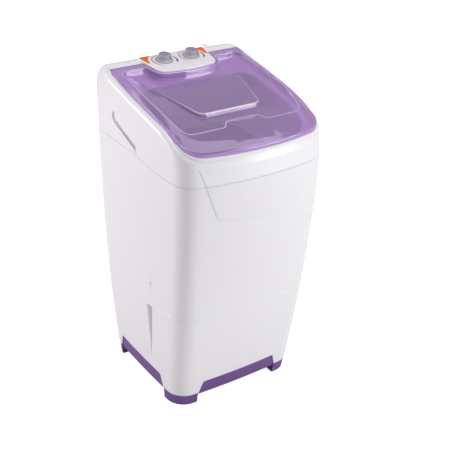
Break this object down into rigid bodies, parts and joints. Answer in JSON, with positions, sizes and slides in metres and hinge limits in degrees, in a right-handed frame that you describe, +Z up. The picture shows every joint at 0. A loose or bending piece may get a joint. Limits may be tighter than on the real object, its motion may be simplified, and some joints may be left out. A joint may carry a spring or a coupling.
{
  "type": "semi-automatic washing machine",
  "caption": "Free-standing top-loading washing machine: tapered cabinet, tinted lid hinged at the back, two knobs, belt-driven agitator in a tub, purple base with corner feet.",
  "frame": {"origin": "on the floor under the middle of the machine", "axes": "+X to the right seen from the front, +Y towards the back, +Z up; the front faces -Y"},
  "size_m": [0.489, 0.561, 1.0075],
  "materials": {
    "white_shell": "satin moulded",
    "white_panel": "glossy",
    "purple_base": "satin moulded",
    "lavender_clear": "clear tinted, glossy",
    "tub_plastic": "satin",
    "lilac_plastic": "glossy",
    "orange_inlay": "glossy",
    "dark_print": "matte",
    "knob_grey": "glossy, ribbed",
    "mauve_cap": "satin",
    "grey_plastic": "matte",
    "grey_hose": "matte",
    "black_rubber": "matte",
    "steel": "zinc plated",
    "zinc_plate": "zinc plated sheet",
    "iron": "laminated",
    "cast_metal": "as cast",
    "bronze": "sintered"
  },
  "bodies": {
    "machine": {"cabinet": "white_shell", "top_cover": "white_shell", "base_frame": "purple_base", "foot_pads": "black_rubber", "base_screws": "steel", "rear_cover": "white_shell", "rear_cover_screws": "steel", "tub": "tub_plastic", "tub_seal": "black_rubber", "tub_screws": "steel", "drive_bracket": "zinc_plate", "bracket_bolts": "steel", "bearing_housing": "grey_plastic", "shaft_bushings": "bronze", "shaft_seal": "black_rubber", "motor_stator": "iron", "motor_upper_cap": "cast_metal", "motor_lower_cap": "cast_metal", "motor_mounts": "black_rubber", "motor_bolts": "steel", "drive_belt": "black_rubber", "capacitor": "grey_plastic", "capacitor_clip": "zinc_plate", "control_panel": "white_panel", "panel_triangles": "orange_inlay", "dial_markings": "dark_print", "timer_body": "grey_plastic", "selector_switch": "grey_plastic", "control_box_cover": "white_shell", "hinge_bracket_left": "white_shell", "hinge_bracket_right": "white_shell", "lid_bumpers": "black_rubber", "lint_filter_frame": "tub_plastic", "drain_elbow": "grey_plastic", "drain_hose": "grey_hose", "hose_clamps": "steel", "drain_outlet": "grey_plastic", "hose_hook": "white_shell", "cord_gland": "black_rubber", "wire_loom": "dark_print", "cable_clips": "grey_plastic"},
    "lid": {"lid": "lavender_clear", "lid_hinge_pins": "steel"},
    "timer_knob": {"timer_knob": "knob_grey", "timer_knob_cap": "mauve_cap", "timer_shaft": "steel"},
    "selector_knob": {"selector_knob": "knob_grey", "selector_knob_cap": "mauve_cap", "selector_shaft": "steel"},
    "agitator": {"agitator": "lilac_plastic", "agitator_cap": "mauve_cap", "agitator_shaft": "steel", "driven_pulley": "cast_metal", "pulley_nut": "steel"},
    "motor_rotor": {"motor_rotor": "iron", "motor_shaft": "steel", "motor_pulley": "cast_metal"},
    "lint_filter": {"lint_filter": "lilac_plastic"}
  },
  "joints": [
    {"name": "lid_hinge", "type": "hinge", "parent": "machine", "child": "lid", "pos_m": [0, 0.173, 0.974], "axis": [-1, 0, 0], "range_deg": [0, 100]},
    {"name": "timer_turn", "type": "hinge", "parent": "machine", "child": "timer_knob", "pos_m": [-0.046, 0.166, 0.98457], "axis": [0, 0.1478, -0.989], "range_deg": [0, 300]},
    {"name": "selector_turn", "type": "hinge", "parent": "machine", "child": "selector_knob", "pos_m": [0.046, 0.166, 0.98457], "axis": [0, 0.1478, -0.989], "range_deg": [0, 270]},
    {"name": "agitator_spin", "type": "hinge", "parent": "machine", "child": "agitator", "pos_m": [0, 0.022, 0.1], "axis": [0, 0, 1], "continuous": true},
    {"name": "motor_spin", "type": "hinge", "parent": "machine", "child": "motor_rotor", "pos_m": [0.117, -0.095, 0.1], "axis": [0, 0, 1], "continuous": true},
    {"name": "filter_lift", "type": "slide", "parent": "machine", "child": "lint_filter", "axis": [0, 0, 1], "range_m": [0, 0.06]}
  ],
  "couplings": [
    {"joint": "motor_spin", "follows": "agitator_spin", "ratio": 5.0556}
  ]
}
